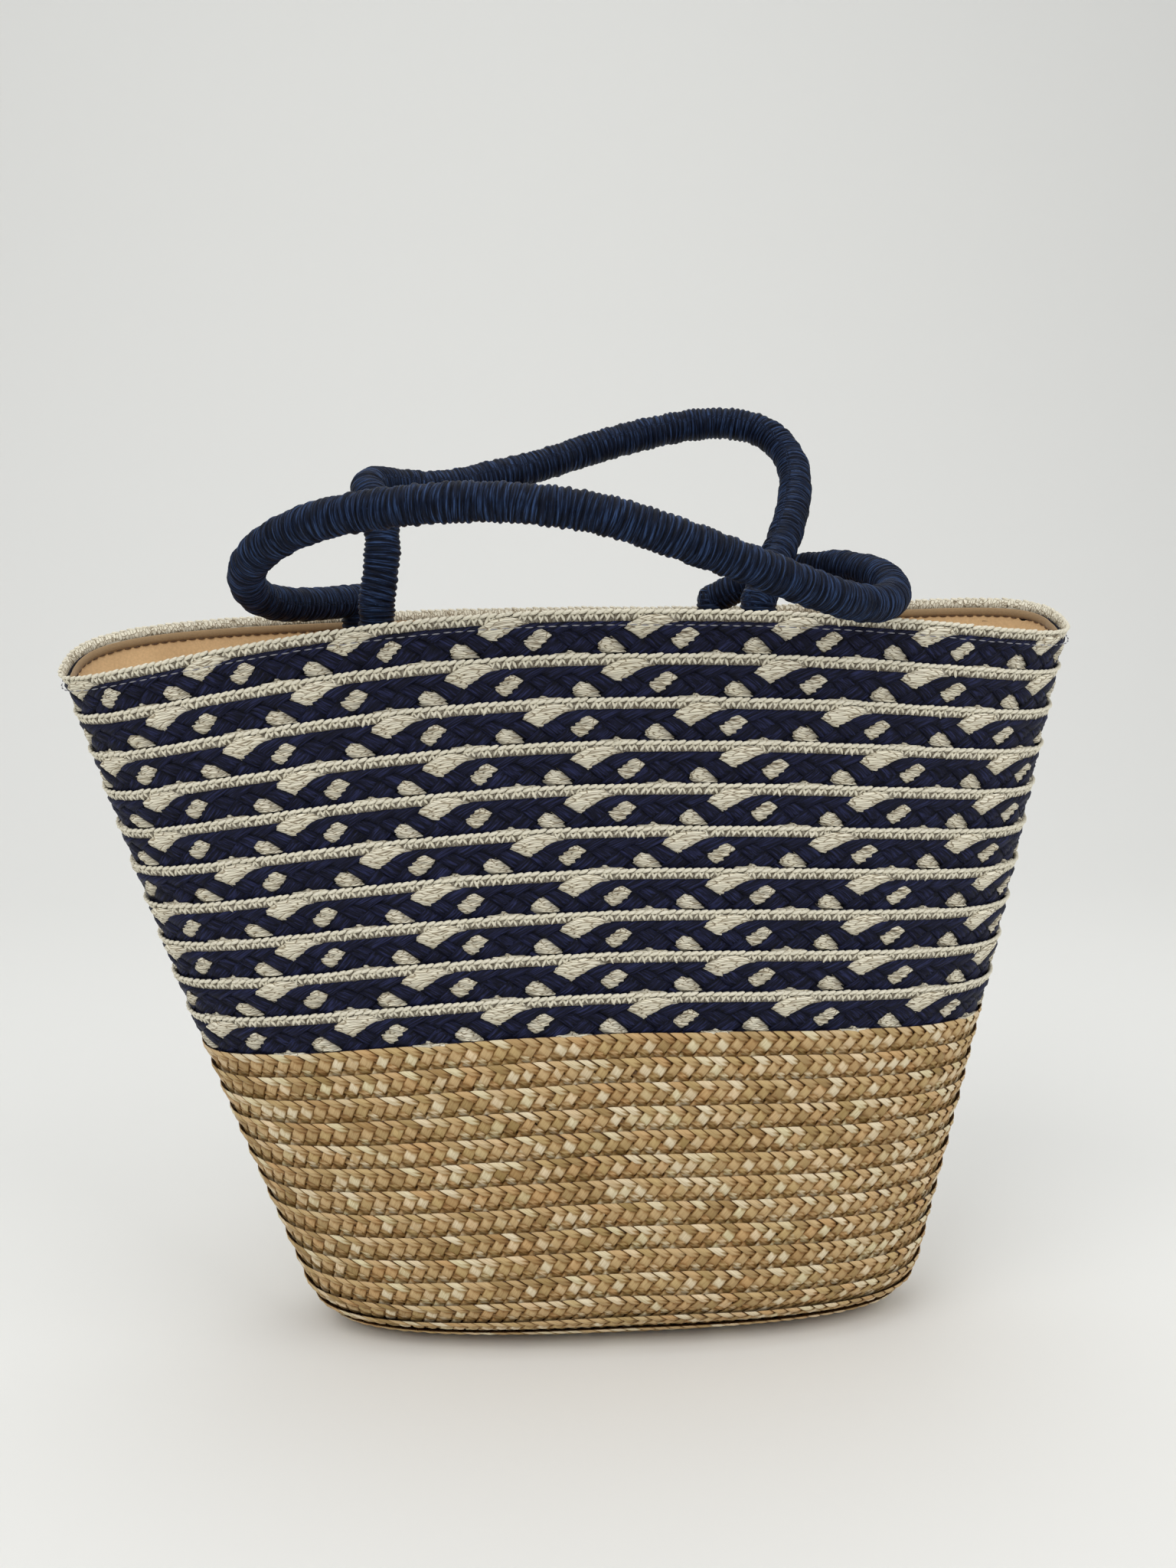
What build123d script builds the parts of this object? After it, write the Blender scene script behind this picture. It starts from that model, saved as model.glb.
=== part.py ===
from build123d import *
import math
import os

# Woven market basket: spirally sewn straw and paper plait, cloth lining, two wrapped rope handles.
# Millimetres.  +Z up, +Y to the back wall, origin at the centre of the flat underside.

# Plait courses, counted from the foot up to the rim
STRAW_COURSES = 15
STRAW_PITCH = 11.6
PAPER_COURSES = 10
PAPER_PITCH = 19.1
PLAIT_THICKNESS = 2.0
PAPER_THICKNESS = 2.0
COURSE_LAP = 3.0
CLEARANCE = 0.3

# Ovals that the wall runs between
BASE_HALF_LENGTH = 145.0
BASE_HALF_WIDTH = 52.0
BASE_SQUARENESS = 2.6
RIM_HALF_LENGTH_RIGHT = 214.0
RIM_HALF_LENGTH_LEFT = 258.0
RIM_HALF_WIDTH = 60.0
RIM_SQUARENESS = 2.5

# Flat foot inside the rounded corner, and the strip that the coil starts from
FOOT_HALF_LENGTH = 121.0
FOOT_HALF_WIDTH = 22.0
FOOT_SQUARENESS = 2.3
BASE_CENTRE_HALF_WIDTH = 10.0

# How the worn wall departs from a true ruled wall
WALL_BELLY = 0.0375
END_SHORTENING_LEFT = 0.0145
END_SHORTENING_RIGHT = -0.0097
RIM_TWIST_LEFT = 27.0
RIM_TWIST_RIGHT = 22.0
TWIST_SHARPNESS = 2.77

# Lining
LINING_THICKNESS = 0.5
LINING_SEAM_GAP = 0.4
HEM_HEIGHT = 10.0
HEM_BELOW_RIM = 6.0
HEM_THICKNESS = 0.7
THREAD = 0.6
STITCH_LINE_BELOW_RIM = 7.0
HEM_STITCH_UP = 2.0

# Rope handles
ROPE_DIAMETER = 16.0
CORE_DIAMETER = 12.0
HINGE_HEIGHT = 353.0
TAIL_LENGTH = 34.0
TAIL_LEAN = 1.5
TAIL_END_ROUND = 4.5
TAIL_THREADS = 3
TAIL_THREAD_SPACING = 9.0
TAIL_THREAD_STOPS_SHORT = 0.8
BEND_SHARE = 0.45

# Number of places at which each oval is set out, and the levels up each course
OVAL_POINTS = 72
COURSE_LEVELS = 3
LINING_LEVELS = 15
LINING_CROWDING = 1.4
NORMAL_STEP = 0.001
SEARCH_STEPS = 40

# Where each handle is sewn in, along X, and the way its centre line takes between, in x, y, z
BACK_HANDLE_ENDS = (-127.0, 52.0)
BACK_HANDLE_ROUTE = [
    (-150, 13, 350),
    (-167, -24, 353),
    (-168, -55, 365),
    (-155, -80, 376),
    (-132, -102, 385),
    (-103, -118, 389),
    (-74, -127, 391),
    (-47, -132, 390),
    (-19, -134, 386),
    (9, -131, 377),
    (36, -124, 368),
    (63, -111, 359),
    (92, -92, 351),
    (115, -62, 353),
    (121, -27, 364),
    (107, 6, 370),
    (85, 24, 367),
    (65, 36, 361),
]
FRONT_HANDLE_ENDS = (-112.0, 57.0)
FRONT_HANDLE_ROUTE = [
    (-108, -45, 375),
    (-111, -38, 393),
    (-118, -21, 404),
    (-111, 1, 407),
    (-87, 18, 405),
    (-59, 34, 413),
    (-39, 45, 418),
    (-1, 60, 432),
    (38, 68, 442),
    (63, 68, 444),
    (83, 60, 438),
    (92, 42, 421),
    (87, 16, 402),
    (76, -12, 382),
    (66, -33, 369),
]

# Worked-out sizes
NOMINAL_RISE = STRAW_COURSES * STRAW_PITCH + PAPER_COURSES * PAPER_PITCH
SIDE_CORNER_RADIUS = BASE_HALF_WIDTH - FOOT_HALF_WIDTH
SLANT = NOMINAL_RISE - SIDE_CORNER_RADIUS * (math.pi / 2 - 1)
FOOT_HEIGHT = PLAIT_THICKNESS
ROPE_RADIUS = ROPE_DIAMETER / 2
CORE_RADIUS = CORE_DIAMETER / 2
WRAP_INNER_RADIUS = CORE_RADIUS + CLEARANCE


def step_out(pitch, thickness):
    """Half the distance by which a course leans from its tucked foot to its lapping top edge."""
    return (thickness + CLEARANCE) * (pitch + COURSE_LAP) / pitch / 2


STRAW_STEP = step_out(STRAW_PITCH, PLAIT_THICKNESS)
PAPER_STEP = step_out(PAPER_PITCH, PAPER_THICKNESS)
DEEPEST_COURSE = max(STRAW_STEP + PLAIT_THICKNESS / 2, PAPER_STEP + PAPER_THICKNESS / 2)


def oval(angle, half_length, half_width, squareness):
    """Point of a superellipse at the given angle."""
    c = math.cos(angle)
    s = math.sin(angle)
    reach = (abs(c) ** squareness + abs(s) ** squareness) ** (-1 / squareness)
    return half_length * reach * c, half_width * reach * s


def rim_half_length(angle):
    return RIM_HALF_LENGTH_RIGHT if math.cos(angle) > 0 else RIM_HALF_LENGTH_LEFT


def end_share(angle, right, left):
    """A value that fades in towards the right or the left end of the basket."""
    c = math.cos(angle)
    return (right if c > 0 else left) * c * c


def wall_middle(rise, angle):
    """Point on the middle surface of the wall; rise runs from 0 at the foot to 1 at the rim."""
    base_x, base_y = oval(angle, BASE_HALF_LENGTH, BASE_HALF_WIDTH, BASE_SQUARENESS)
    rim_x, rim_y = oval(angle, rim_half_length(angle), RIM_HALF_WIDTH, RIM_SQUARENESS)
    foot_x, foot_y = oval(angle, FOOT_HALF_LENGTH, FOOT_HALF_WIDTH, FOOT_SQUARENESS)
    flare = math.hypot(rim_x - base_x, rim_y - base_y)
    slant = SLANT * (1 - end_share(angle, END_SHORTENING_RIGHT, END_SHORTENING_LEFT))
    height = math.sqrt(slant**2 - flare**2)
    turn = math.acos(flare / slant)
    corner_reach = math.hypot(base_x - foot_x, base_y - foot_y)
    corner_radius = corner_reach / math.tan(turn / 2)
    corner_length = corner_radius * turn
    travel = rise * (slant - corner_reach + corner_length)
    inset = 0.0
    if travel < corner_length:
        # Round the foot: the arc starts flat and ends in line with the wall
        bend = travel / corner_radius
        up = corner_radius * (1 - math.cos(bend))
        inset = corner_reach - corner_radius * math.sin(bend) + up / height * flare
    else:
        up = (corner_reach + travel - corner_length) * height / slant
    share = up / height + WALL_BELLY * 16 * (rise * (1 - rise)) ** 2
    shift = inset / corner_reach
    twist = RIM_TWIST_RIGHT if math.cos(angle) > 0 else RIM_TWIST_LEFT
    lift = twist * math.sin(angle) * abs(math.cos(angle)) ** TWIST_SHARPNESS * rise**2
    return Vector(
        base_x + (rim_x - base_x) * share - (base_x - foot_x) * shift,
        base_y + (rim_y - base_y) * share - (base_y - foot_y) * shift,
        FOOT_HEIGHT + up + lift,
    )


def wall_point(rise, angle, outwards):
    """Point at a distance outside the wall's middle surface, measured square to it."""
    low = max(rise - NORMAL_STEP, 0)
    high = min(rise + NORMAL_STEP, 1)
    up = wall_middle(high, angle) - wall_middle(low, angle)
    around = wall_middle(rise, angle + NORMAL_STEP) - wall_middle(rise, angle - NORMAL_STEP)
    return wall_middle(rise, angle) + around.cross(up).normalized() * outwards


def rise_below_rim(distance):
    return 1 - distance / NOMINAL_RISE


def closed_curve(rise, outwards, points=OVAL_POINTS):
    """Spline right round the wall."""
    turns = [2 * math.pi * i / points for i in range(points)]
    return Edge.make_spline([wall_point(rise, turn, outwards) for turn in turns], periodic=True)


def open_curve(rise, outwards, first_angle, last_angle, steps=OVAL_POINTS // 2):
    """Spline along one side of the wall, between two angles."""
    step = (last_angle - first_angle) / steps
    return Edge.make_spline(
        [wall_point(rise, first_angle + step * i, outwards) for i in range(steps + 1)]
    )


def ruled(edge_a, edge_b):
    return Face.make_surface_from_curves(edge_a, edge_b)


def solid_from(faces):
    solid = Solid(Shell(faces))
    if solid.volume < 0:
        raise ValueError("a skin came out inside the material")
    return solid


def band(levels):
    """Closed band right round the basket from levels of (rise, outer offset, inner offset)."""
    outer = [closed_curve(rise, far) for rise, far, near in levels]
    inner = [closed_curve(rise, near) for rise, far, near in levels]
    faces = [ruled(outer[0], inner[0]), ruled(outer[-1], inner[-1])]
    for curves in (outer, inner):
        faces += [ruled(low, high) for low, high in zip(curves, curves[1:])]
    return solid_from(faces)


def panel(levels, first_angle, last_angle):
    """Open panel along one side of the basket from levels of (rise, outer, inner offset)."""
    outer = [open_curve(rise, far, first_angle, last_angle) for rise, far, near in levels]
    inner = [open_curve(rise, near, first_angle, last_angle) for rise, far, near in levels]
    faces = [ruled(outer[0], inner[0]), ruled(outer[-1], inner[-1])]
    for curves in (outer, inner):
        faces += [ruled(low, high) for low, high in zip(curves, curves[1:])]
    for end in (0, 1):
        for low in range(len(levels) - 1):
            corners = [outer[low] @ end, outer[low + 1] @ end, inner[low + 1] @ end, inner[low] @ end]
            side_a = Edge.make_line(corners[0], corners[1])
            side_b = Edge.make_line(corners[3], corners[2])
            faces.append(ruled(side_a, side_b))
    return solid_from(faces)


def course(first, pitch, thickness, step):
    """One turn of plait: its foot is tucked inside the course below, its top edge laps outside."""
    start = first - COURSE_LAP
    length = pitch + COURSE_LAP
    levels = []
    for i in range(COURSE_LEVELS):
        share = i / (COURSE_LEVELS - 1)
        rise = (start + share * length) / NOMINAL_RISE
        lean = step * (2 * share - 1)
        levels.append((max(rise, 0), lean + thickness / 2, lean - thickness / 2))
    return band(levels)


def straw_course(number):
    first = number * STRAW_PITCH
    if number == 0:
        # The first course has no course below it: its foot lies on the base
        share = COURSE_LAP / (STRAW_PITCH + COURSE_LAP)
        levels = []
        for i in range(COURSE_LEVELS):
            up = i / (COURSE_LEVELS - 1)
            lean = STRAW_STEP * (2 * (share + up * (1 - share)) - 1)
            rise = up * STRAW_PITCH / NOMINAL_RISE
            levels.append((rise, lean + PLAIT_THICKNESS / 2, lean - PLAIT_THICKNESS / 2))
        return band(levels)
    return course(first, STRAW_PITCH, PLAIT_THICKNESS, STRAW_STEP)


def paper_course(number):
    first = STRAW_COURSES * STRAW_PITCH + number * PAPER_PITCH
    return course(first, PAPER_PITCH, PAPER_THICKNESS, PAPER_STEP)


def foot_plate(inset, bottom, thickness):
    """Flat oval plate whose edge is a distance inside the foot of the wall."""
    turns = [2 * math.pi * i / OVAL_POINTS for i in range(OVAL_POINTS)]
    sizes = (FOOT_HALF_LENGTH - inset, FOOT_HALF_WIDTH - inset, FOOT_SQUARENESS)
    outline = Edge.make_spline([Vector(*oval(turn, *sizes)) for turn in turns], periodic=True)
    return Pos(0, 0, bottom) * extrude(Face(Wire(outline)), thickness, dir=(0, 0, 1))


def base_pieces():
    """The flat of the bottom: the strip that the coil starts from, and the turn round it."""
    centre_inset = FOOT_HALF_WIDTH - BASE_CENTRE_HALF_WIDTH
    centre = foot_plate(centre_inset, 0, PLAIT_THICKNESS)
    outer = foot_plate(CLEARANCE, 0, PLAIT_THICKNESS)
    inner = foot_plate(centre_inset - CLEARANCE, 0, PLAIT_THICKNESS)
    return centre, outer - inner


def top_course_inside(distance):
    """Offset of the wall's inner side at a distance below the rim."""
    share = min(distance / (PAPER_PITCH + COURSE_LAP), 1)
    if share < 1:
        return PAPER_STEP * (1 - 2 * share) - PAPER_THICKNESS / 2
    return -DEEPEST_COURSE


def lining_outside(distance):
    return top_course_inside(distance) - CLEARANCE


def lining_side(first_angle, last_angle):
    """One side of the lining, from the foot of the wall up to just below the rim."""
    shoulder = PAPER_PITCH + COURSE_LAP
    levels = []
    for i in range(LINING_LEVELS):
        share = (i / (LINING_LEVELS - 1)) ** LINING_CROWDING
        levels.append((share * rise_below_rim(shoulder), -DEEPEST_COURSE - CLEARANCE))
    levels.append((rise_below_rim(HEM_BELOW_RIM), lining_outside(HEM_BELOW_RIM)))
    seam = LINING_SEAM_GAP / 2 / FOOT_HALF_WIDTH
    levels = [(rise, far, far - LINING_THICKNESS) for rise, far in levels]
    return panel(levels, first_angle + seam, last_angle - seam)


def lining_bottom():
    height = FOOT_HEIGHT + DEEPEST_COURSE + CLEARANCE
    return foot_plate(CLEARANCE, height, LINING_THICKNESS)


def hem_outside(distance):
    return lining_outside(distance) - LINING_THICKNESS - CLEARANCE


def inner_band(top, height, outside, thickness):
    """Narrow band inside the wall whose outer offset follows the given function."""
    levels = []
    for i in range(COURSE_LEVELS):
        distance = top + height * (1 - i / (COURSE_LEVELS - 1))
        far = outside(distance)
        levels.append((rise_below_rim(distance), far, far - thickness))
    return band(levels)


def lining_hem():
    return inner_band(HEM_BELOW_RIM, HEM_HEIGHT, hem_outside, HEM_THICKNESS)


def hem_thread_outside(distance):
    return hem_outside(distance) - HEM_THICKNESS - CLEARANCE


def hem_stitching():
    top = HEM_BELOW_RIM + HEM_HEIGHT - HEM_STITCH_UP
    return inner_band(top, THREAD, hem_thread_outside, THREAD)


def rim_thread_outside(distance):
    return top_course_inside(distance) + PAPER_THICKNESS + CLEARANCE + THREAD


def rim_stitching():
    return inner_band(STITCH_LINE_BELOW_RIM, THREAD, rim_thread_outside, THREAD)


def inside_angle(x, side):
    """Angle at which the rim's inner side stands at the given x on the back (1) or front (-1)."""
    distance = HEM_BELOW_RIM + HEM_HEIGHT
    low, high = 0.0, math.pi
    for _ in range(SEARCH_STEPS):
        middle = (low + high) / 2
        here = wall_point(rise_below_rim(distance), side * middle, hem_outside(distance))
        low, high = (middle, high) if here.X > x else (low, middle)
    return side * low


def hinge_point(x, side):
    """Centre of a handle's sewn end: its rope lies against the hem."""
    distance = HEM_BELOW_RIM + HEM_HEIGHT
    face = hem_outside(distance) - HEM_THICKNESS
    hem = wall_point(rise_below_rim(distance), inside_angle(x, side), face)
    drop = HINGE_HEIGHT - hem.Z
    stitching = CLEARANCE + THREAD
    stand_off = ROPE_RADIUS + CLEARANCE + stitching - drop * math.sin(math.radians(TAIL_LEAN))
    return Vector(x, hem.Y - side * stand_off, HINGE_HEIGHT)


def rope_points(route, ends, side):
    return [hinge_point(ends[0], side), *[Vector(*point) for point in route], hinge_point(ends[1], side)]


def rope_path(points, end_trim):
    """Straight runs joined by tangent arcs, each as large as its two runs allow."""
    radii = []
    for before, corner, after in zip(points, points[1:], points[2:]):
        run_in = corner - before
        run_out = after - corner
        turn = math.radians(run_in.get_angle(run_out))
        radii.append(BEND_SHARE * min(run_in.length, run_out.length) / math.tan(turn / 2))
    first = points[0] + (points[1] - points[0]).normalized() * end_trim
    last = points[-1] + (points[-2] - points[-1]).normalized() * end_trim
    return FilletPolyline([first, *points[1:-1], last], radius=radii)


def rope_section(path, radius, inner_radius=0):
    plane = Plane(origin=path @ 0, z_dir=path % 0)
    disc = Circle(radius)
    if inner_radius:
        disc -= Circle(inner_radius)
    return plane * disc


def swept(path, radius, inner_radius=0):
    """Rope piece along a path, checked against its section times its length."""
    solid = sweep(rope_section(path, radius, inner_radius), path=path)
    expected = math.pi * (radius**2 - inner_radius**2) * path.length
    if abs(solid.volume / expected - 1) > 0.01:
        raise ValueError(f"swept volume {solid.volume:.0f}, expected {expected:.0f}")
    return solid


def handle(route, ends, side):
    """Filler core with a round knot at each sewn end, and the wrap laid over it."""
    points = rope_points(route, ends, side)
    knot_radius = ROPE_RADIUS - CLEARANCE
    core = swept(rope_path(points, 0), CORE_RADIUS)
    for end in (points[0], points[-1]):
        core += Pos(end) * Sphere(knot_radius)
    wrap = swept(rope_path(points, knot_radius + CLEARANCE), ROPE_RADIUS, WRAP_INNER_RADIUS)
    return core, wrap


def tail_axis(side):
    lean = math.radians(TAIL_LEAN)
    return Vector(0, -side * math.sin(lean), -math.cos(lean))


def tail(x, side):
    """Sewn-in end of a handle's rope, running down the inside of the lining."""
    top = hinge_point(x, side) + tail_axis(side) * (ROPE_RADIUS + CLEARANCE)
    plane = Plane(origin=top, x_dir=(1, 0, 0), z_dir=tail_axis(side))
    rope = extrude(plane * Circle(ROPE_RADIUS), TAIL_LENGTH)
    return fillet(rope.edges().filter_by(GeomType.CIRCLE), TAIL_END_ROUND)


def tail_thread(x, side, down):
    """One stitch: over the rope tail and back through the lining on both sides."""
    centre = hinge_point(x, side) + tail_axis(side) * (ROPE_RADIUS + CLEARANCE + down)
    into_bag = Vector(0, -side * math.cos(math.radians(TAIL_LEAN)), math.sin(math.radians(TAIL_LEAN)))
    reach = ROPE_RADIUS + CLEARANCE + THREAD / 2
    leg = into_bag * -(ROPE_RADIUS + THREAD - TAIL_THREAD_STOPS_SHORT)
    across = Vector(reach, 0, 0)
    path = Wire(
        [
            Edge.make_line(centre - across + leg, centre - across),
            Edge.make_three_point_arc(centre - across, centre + into_bag * reach, centre + across),
            Edge.make_line(centre + across, centre + across + leg),
        ]
    )
    return swept(path, THREAD / 2)


def handle_stitches():
    stitches = []
    for ends, side in ((BACK_HANDLE_ENDS, 1), (FRONT_HANDLE_ENDS, -1)):
        for x in ends:
            for row in range(TAIL_THREADS):
                down = TAIL_LENGTH / 2 + (row - (TAIL_THREADS - 1) / 2) * TAIL_THREAD_SPACING
                stitches.append(tail_thread(x, side, down))
    return Compound(stitches)


def build():
    """Every piece of the basket under its node name."""
    pieces = {}
    pieces["straw_base_centre"], pieces["straw_base_course"] = base_pieces()
    for number in range(STRAW_COURSES):
        pieces[f"straw_wall_course_{number + 1:02d}"] = straw_course(number)
    for number in range(PAPER_COURSES):
        pieces[f"paper_wall_course_{number + 1:02d}"] = paper_course(number)
    pieces["lining_back"] = lining_side(0, math.pi)
    pieces["lining_front"] = lining_side(math.pi, 2 * math.pi)
    pieces["lining_bottom"] = lining_bottom()
    pieces["lining_hem"] = lining_hem()
    pieces["hem_stitching"] = hem_stitching()
    pieces["rim_stitching"] = rim_stitching()
    handles = (
        ("back_handle", BACK_HANDLE_ROUTE, BACK_HANDLE_ENDS, 1),
        ("front_handle", FRONT_HANDLE_ROUTE, FRONT_HANDLE_ENDS, -1),
    )
    for name, route, ends, side in handles:
        core, wrap = handle(route, ends, side)
        pieces[f"{name}_core"] = core
        pieces[f"{name}_wrap"] = wrap
        for hand, x in zip(("left", "right"), ends):
            pieces[f"{name}_tail_{hand}"] = tail(x, side)
    pieces["handle_stitches"] = handle_stitches()
    return pieces


os.makedirs("parts", exist_ok=True)
for node, shape in build().items():
    export_step(shape, f"parts/{node}.step")
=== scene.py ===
import math

import bmesh
import bpy
import numpy as np
from bpy.props import FloatProperty, FloatVectorProperty, IntProperty, PointerProperty
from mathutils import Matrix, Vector


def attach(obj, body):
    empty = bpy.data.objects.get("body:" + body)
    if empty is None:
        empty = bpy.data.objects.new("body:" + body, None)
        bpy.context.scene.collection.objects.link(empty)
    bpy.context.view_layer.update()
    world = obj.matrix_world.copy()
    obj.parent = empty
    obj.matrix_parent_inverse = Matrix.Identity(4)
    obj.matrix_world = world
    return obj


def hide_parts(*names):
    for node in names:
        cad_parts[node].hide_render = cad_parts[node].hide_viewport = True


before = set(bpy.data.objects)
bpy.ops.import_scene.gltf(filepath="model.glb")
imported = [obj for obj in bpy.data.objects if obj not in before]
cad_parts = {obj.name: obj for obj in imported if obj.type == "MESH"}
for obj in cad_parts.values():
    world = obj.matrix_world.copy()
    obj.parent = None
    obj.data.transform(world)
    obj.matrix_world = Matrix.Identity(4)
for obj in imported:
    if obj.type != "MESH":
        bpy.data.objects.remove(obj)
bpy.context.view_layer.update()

bl_info = {
    "name": "Woven market basket",
    "version": (1, 0, 0),
    "blender": (4, 5, 0),
    "location": "View3D > Sidebar > Basket",
    "description": "Straw and paper plait basket with a cloth lining and wrapped rope handles",
    "category": "Add Mesh",
}

MM = 0.001

# Sizes shared with the solids, in millimetres and radians
STRAW_COURSES = 15
STRAW_PITCH = 11.6
PAPER_COURSES = 10
PAPER_PITCH = 19.1
PLAIT_THICKNESS = 2.0
COURSE_LAP = 3.0
CLEARANCE = 0.3
BASE_OVAL = (145.0, 52.0, 2.6)
FOOT_OVAL = (121.0, 22.0, 2.3)
CENTRE_COIL_INSET = 12.0
RIM_RIGHT, RIM_LEFT, RIM_WIDTH, RIM_SQUARENESS = 214.0, 258.0, 60.0, 2.5
WALL_BELLY = 0.0375
END_SHORTENING_RIGHT, END_SHORTENING_LEFT = -0.0097, 0.0145
RIM_TWIST_RIGHT, RIM_TWIST_LEFT, TWIST_SHARPNESS = 22.0, 27.0, 2.77
NOMINAL_RISE = STRAW_COURSES * STRAW_PITCH + PAPER_COURSES * PAPER_PITCH
SLANT = NOMINAL_RISE - (BASE_OVAL[1] - FOOT_OVAL[1]) * (math.pi / 2 - 1)
ROPE_RADIUS = 8.0
SEWN_END_LENGTH = 34.3
SEWN_END_LEAN = math.radians(1.5)

# Sizes of the dressing, in millimetres
CHAIN_DEPTH = 5.2
FAN_DEPTH = 6.0
LOWER_FOLD = 19.0
FOLD_SOFTNESS = 1.2
FOLD_PINCH = 1.1
RIDGE_HEIGHT = 0.9
CLOTH_WELD = 0.1
LINING_THICKNESS = 0.4
LINING_TOP = 6.0
LINING_FLOOR = 5.2
HEM_THICKNESS = 0.7
HEM_TOP = 5.2
HEM_FRONT = 3.4
HEM_DEPTH = 8.2
THREAD_RADIUS = 0.3

# Angle between a lining panel's side and the seam, in radians
SEAM_ANGLE = 0.001

# The rope handles' routes, in millimetres, from one sewn end to the other
BACK_HANDLE_ROUTE = [
    (-127, 43.1, 353), (-150, 13, 350), (-167, -24, 353), (-168, -55, 365), (-155, -80, 376),
    (-132, -102, 385), (-103, -118, 389), (-74, -127, 391), (-47, -132, 390), (-19, -134, 386),
    (9, -131, 377), (36, -124, 368), (63, -111, 359), (92, -92, 351), (115, -62, 353),
    (121, -27, 364), (107, 6, 370), (85, 24, 367), (65, 36, 361), (52, 46.8, 353),
]
FRONT_HANDLE_ROUTE = [
    (-112, -44.5, 353), (-108, -45, 375), (-111, -38, 393), (-118, -21, 404), (-111, 1, 407),
    (-87, 18, 405), (-59, 34, 413), (-39, 45, 418), (-1, 60, 432), (38, 68, 442),
    (63, 68, 444), (83, 60, 438), (92, 42, 421), (87, 16, 402), (76, -12, 382),
    (66, -33, 369), (57, -46.7, 353),
]


def linear(hex_colour):
    """sRGB hex to the linear colour that the shaders take."""
    parts = [int(hex_colour[i : i + 2], 16) / 255 for i in (1, 3, 5)]
    return [c / 12.92 if c <= 0.04045 else ((c + 0.055) / 1.055) ** 2.4 for c in parts]


class BasketSizes(bpy.types.PropertyGroup):
    straw_repeat: FloatProperty(
        name="Straw repeat", description="Length in which one straw goes down and up again",
        default=33.5 * MM, unit="LENGTH")
    straw_depth: FloatProperty(
        name="Straw plait width", description="Width of the straw plait between its folds",
        default=17.0 * MM, unit="LENGTH")
    paper_repeat: FloatProperty(
        name="Paper repeat", description="Length between two cream fans along a course",
        default=66.0 * MM, unit="LENGTH")
    paper_depth: FloatProperty(
        name="Paper plait width", description="Width of the paper plait between its folds",
        default=19.6 * MM, unit="LENGTH")
    navy_width: FloatProperty(
        name="Navy strand width", description="Width of one twisted paper strand",
        default=7.2 * MM, unit="LENGTH")
    cream_width: FloatProperty(
        name="Cream strand width", description="Width of the crocheted strand",
        default=9.8 * MM, unit="LENGTH")
    chain_pitch: FloatProperty(
        name="Chain pitch", description="Length of one loop of the crochet chain edge",
        default=3.55 * MM, unit="LENGTH")
    wrap_pitch: FloatProperty(
        name="Wrap pitch", description="Distance from one turn of the rope's wrap to the next",
        default=2.6 * MM, unit="LENGTH")
    seed: IntProperty(
        name="Seed", description="Start of the random variation", default=7, min=0)


class BasketColours(bpy.types.PropertyGroup):
    straw_light: FloatVectorProperty(
        name="Light straw", description="Palest straws", subtype="COLOR", default=linear("#e6d8ba"))
    straw_mid: FloatVectorProperty(
        name="Middle straw", description="Most of the straws", subtype="COLOR", default=linear("#cbae80"))
    straw_dark: FloatVectorProperty(
        name="Dark straw", description="Darkest straws", subtype="COLOR", default=linear("#a68a5a"))
    navy: FloatVectorProperty(
        name="Navy", description="Dyed paper", subtype="COLOR", default=linear("#121429"))
    # Painted highlight: the paler blue painted on the navy paper's fold ridges where light catches them
    navy_highlight: FloatVectorProperty(
        name="Highlit navy", description="Creases of the dyed paper", subtype="COLOR", default=linear("#2a2f54"))
    rope: FloatVectorProperty(
        name="Rope blue", description="Dyed paper of the handles", subtype="COLOR", default=linear("#08142b"))
    # Painted highlight: the paler blue painted on the rope paper's fold ridges where light catches them
    rope_highlight: FloatVectorProperty(
        name="Highlit rope blue", description="Creases of the handles' paper", subtype="COLOR",
        default=linear("#344b74"))
    cream: FloatVectorProperty(
        name="Cream", description="Crocheted paper yarn", subtype="COLOR", default=linear("#f3eddb"))
    cream_dark: FloatVectorProperty(
        name="Dull cream", description="Yellower stretches of the yarn", subtype="COLOR",
        default=linear("#e6dfc6"))
    lining: FloatVectorProperty(
        name="Lining", description="Cotton lining", subtype="COLOR", default=linear("#e4be8c"))


# ---------------------------------------------------------------- wall shape


def oval(angle, half_length, half_width, squareness):
    """Points of a superellipse at the given angles."""
    c, s = np.cos(angle), np.sin(angle)
    reach = (np.abs(c) ** squareness + np.abs(s) ** squareness) ** (-1 / squareness)
    return half_length * reach * c, half_width * reach * s


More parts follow.
